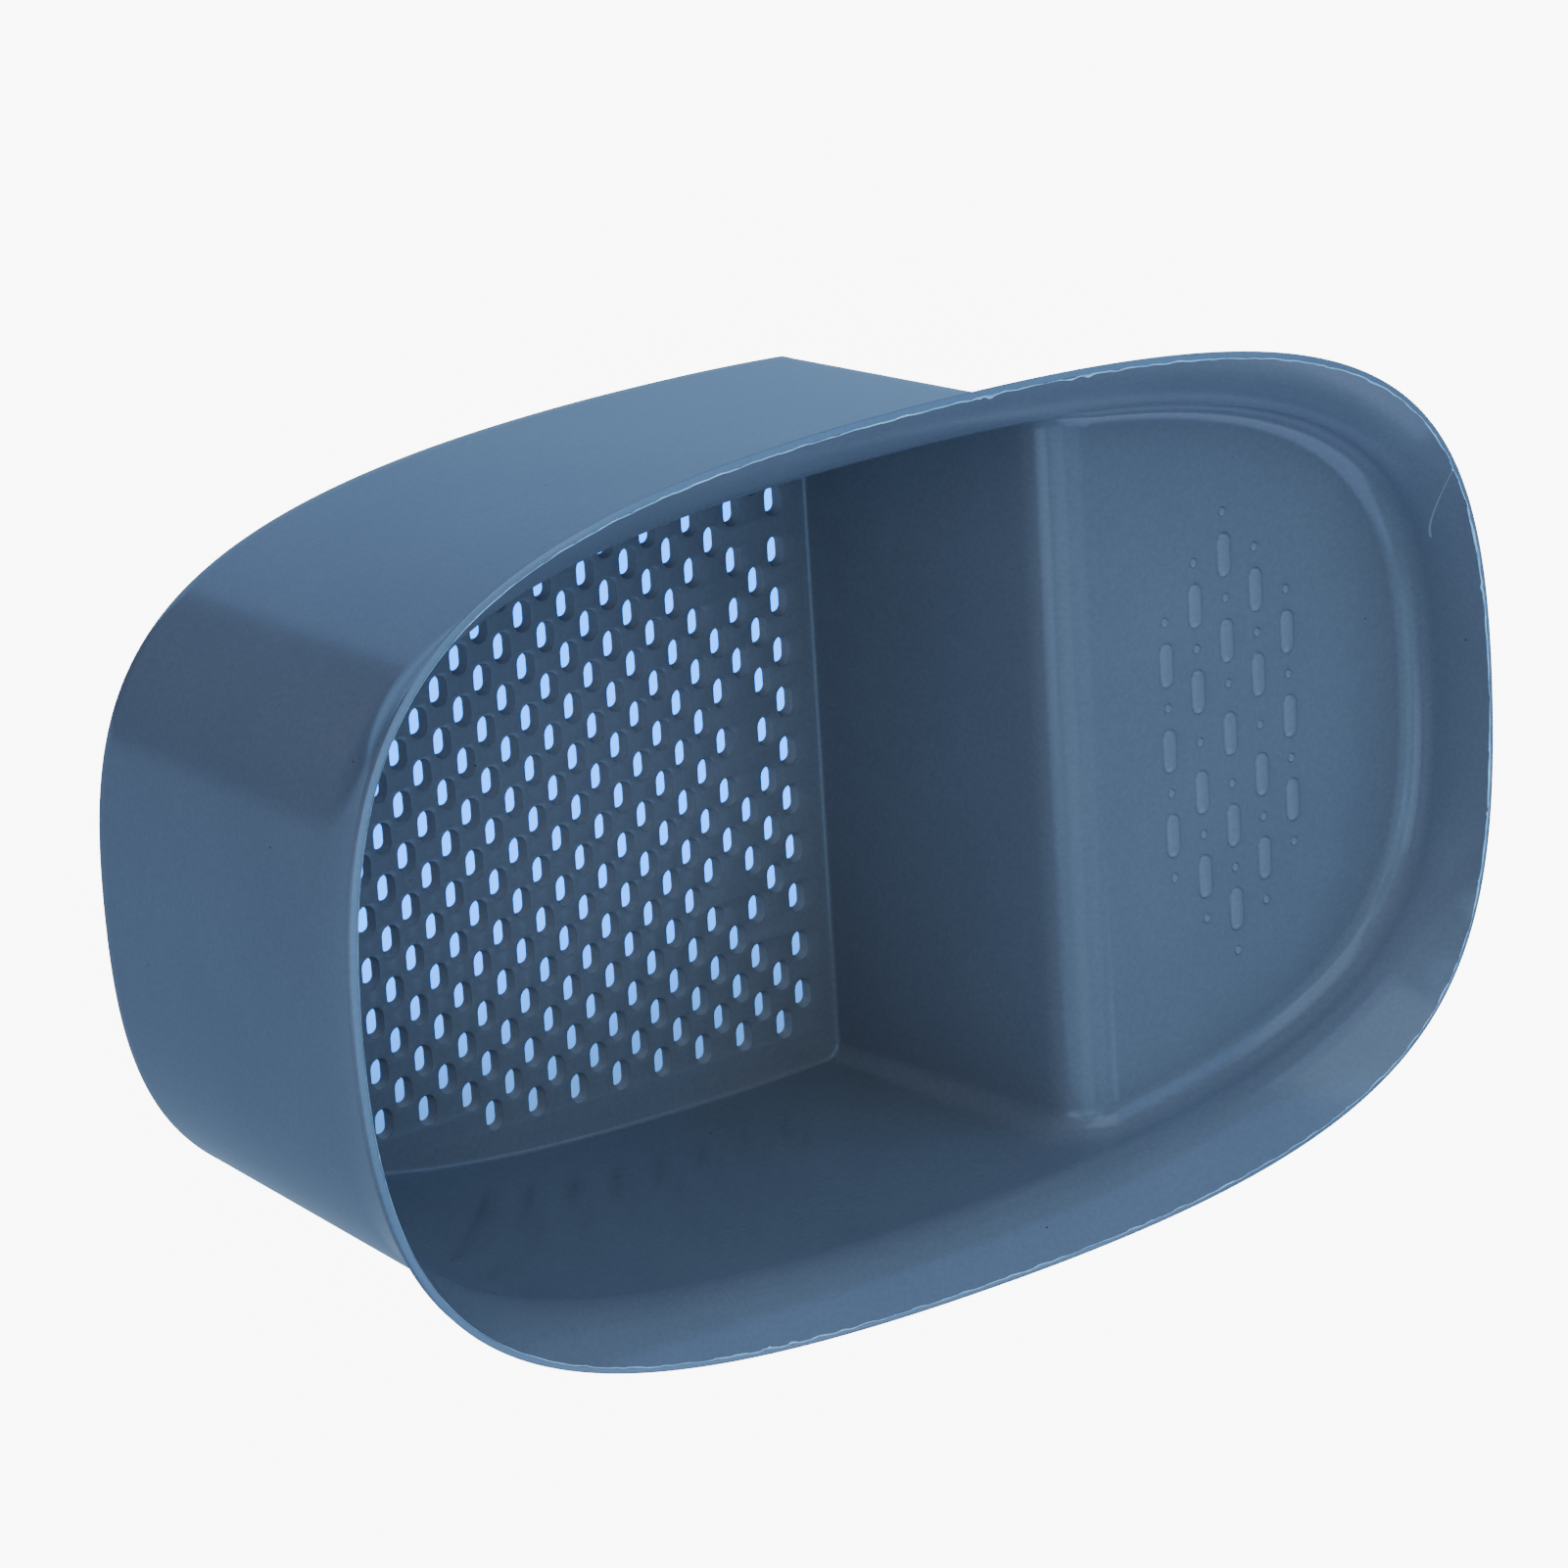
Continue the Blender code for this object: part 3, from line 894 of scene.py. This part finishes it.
def soft_light(name, azimuth, elevation, size, power, colour):
    """A rectangular soft light on a round track about the basket, turned to it. Its power is in watts."""
    data = bpy.data.lights.new(name, "AREA")
    data.shape = "RECTANGLE"
    data.size, data.size_y = size
    data.energy = power
    data.color = colour
    item = bpy.data.objects.new(name, data)
    bpy.context.scene.collection.objects.link(item)
    level = math.cos(math.radians(elevation))
    away = Vector((level * math.cos(math.radians(azimuth)), level * math.sin(math.radians(azimuth)),
                   math.sin(math.radians(elevation))))
    item.location = away * light_distance + Vector((0.0, 0.0, light_target_z))
    item.rotation_euler = away.to_track_quat("Z", "Y").to_euler()
    return item


def sector(tree, level, azimuth, half_width, softness):
    """A mask that is 1 within half a width of an azimuth and 0 outside, with soft edges."""
    along = node(tree, "ShaderNodeVectorMath", operation="DOT_PRODUCT")
    towards = math.radians(azimuth)
    along.inputs[1].default_value = (math.cos(towards), math.sin(towards), 0.0)
    tree.links.new(level, along.inputs[0])
    edge = node(tree, "ShaderNodeMapRange", interpolation_type="SMOOTHSTEP")
    edge.inputs["From Min"].default_value = math.cos(math.radians(half_width + softness))
    edge.inputs["From Max"].default_value = math.cos(math.radians(half_width - softness))
    tree.links.new(along.outputs["Value"], edge.inputs["Value"])
    return edge.outputs["Result"]


def blend_shades(tree, share, low, high):
    """Goes from the low shade to the high one with the share. Either may be a colour or a socket."""
    mix = node(tree, "ShaderNodeMix", data_type="RGBA")
    tree.links.new(share, mix.inputs["Factor"])
    for name, shade in (("A", low), ("B", high)):
        if isinstance(shade, tuple):
            mix.inputs[name].default_value = (*shade, 1.0)
        else:
            tree.links.new(shade, mix.inputs[name])
    return mix.outputs["Result"]


def light_tent():
    """A tent of soft light all round: one shade above, and two below with a dark opening between them."""
    world = bpy.data.worlds.new("studio")
    world.use_nodes = True
    tree = world.node_tree
    where = node(tree, "ShaderNodeTexCoord").outputs["Generated"]
    height = node(tree, "ShaderNodeSeparateXYZ")
    tree.links.new(where, height.inputs["Vector"])
    flat = node(tree, "ShaderNodeVectorMath", operation="MULTIPLY")
    flat.inputs[1].default_value = (1.0, 1.0, 0.0)
    tree.links.new(where, flat.inputs[0])
    level = node(tree, "ShaderNodeVectorMath", operation="NORMALIZE")
    tree.links.new(flat.outputs["Vector"], level.inputs[0])
    back = sector(tree, level.outputs["Vector"], back_azimuth, back_half_width, back_softness)
    opening = sector(tree, level.outputs["Vector"], opening_azimuth, opening_half_width, opening_softness)
    below = blend_shades(tree, back, front_shade, back_shade)
    below = blend_shades(tree, opening, below, (0.0, 0.0, 0.0))
    rise = node(tree, "ShaderNodeMapRange", interpolation_type="SMOOTHSTEP")
    rise.inputs["From Min"].default_value = -horizon_softness
    rise.inputs["From Max"].default_value = horizon_softness
    tree.links.new(height.outputs["Z"], rise.inputs["Value"])
    shade = blend_shades(tree, rise.outputs["Result"], below, upper_shade)
    tree.links.new(shade, tree.nodes["Background"].inputs["Color"])
    bpy.context.scene.world = world


# Angles here are in degrees, and a shade is red, green and blue in linear light
light_distance = 1.2
light_target_z = 0.05
horizon_softness = 0.12
upper_shade = (0.31, 0.385, 0.46)
back_shade = (0.31, 0.58, 0.96)
front_shade = (0.258, 0.388, 0.575)
back_azimuth = 34
back_half_width = 60
back_softness = 8
opening_azimuth = 135
opening_half_width = 41
opening_softness = 2
floor_glow = 9.0
stage_turns = 96
stage_drop = 0.1 * MM
sheet_margin = 1.0 * MM
sheet_drop = 0.04 * MM
dark_drop = 0.06 * MM
underlay_drop = 0.08 * MM
slot_dim_y = -66 * MM
slot_bright_y = -14 * MM
slot_dim_shade = (0.12, 0.48, 1.3)
slot_bright_shade = (0.01, 1.2, 5.3)
underlay_shade = (0.55, 0.78, 1.0)
underlay_glow = 0.35
stage_floor()
slot_sheets()
light_tent()
soft_light("back_low_softbox", 90, 0, (0.9, 1.0), 3.2, (1.0, 0.8, 0.95))
soft_light("right_softbox", 45, 40, (0.8, 0.8), 2.75, (0.25, 0.52, 0.9))
soft_light("back_softbox", 90, 40, (0.8, 0.8), 4.0, (1.0, 0.94, 0.77))
soft_light("left_softbox", 190, 42, (1.1, 1.1), 2.8, (0.7, 0.95, 1.0))
soft_light("left_low_softbox", 180, 15, (0.8, 0.8), 3.1, (0.95, 0.84, 0.98))
soft_light("front_softbox", 286, 35, (1.1, 1.1), 6.0, (0.7, 0.77, 1.0))
fill = soft_light("fill_softbox", 150, 52, (0.6, 0.6), 3.5, (1.0, 0.56, 0.24))
fill.visible_glossy = False
sheen = soft_light("sheen_softbox", 150, 52, (1.0, 1.0), 3.5, (0.62, 0.8, 1.0))
sheen.visible_diffuse = False
sheen = soft_light("high_sheen_softbox", 222, 67, (1.1, 1.1), 2.2, (0.62, 0.8, 1.0))
sheen.visible_diffuse = False

# The camera stands high over the bin's end and looks down across the basket, with +Y up in the picture
camera_place = (-0.6173, 0.3480, 0.9028)
picture_right = (0.80189, -0.0593, 0.59452)
picture_down = (-0.22994, -0.94905, 0.21548)
picture_depth = (0.55145, -0.3095, -0.77467)
camera_data = bpy.data.cameras.new("camera")
camera_data.lens = 134.916
camera_data.sensor_width = 36.0
camera_data.clip_end = 20.0
camera = bpy.data.objects.new("camera", camera_data)
bpy.context.scene.collection.objects.link(camera)
turn = Matrix((picture_right, picture_down, picture_depth)).transposed()
turn = turn @ Matrix(((1, 0, 0), (0, -1, 0), (0, 0, -1)))
camera.matrix_world = Matrix.Translation(camera_place) @ turn.to_4x4()
bpy.context.scene.camera = camera
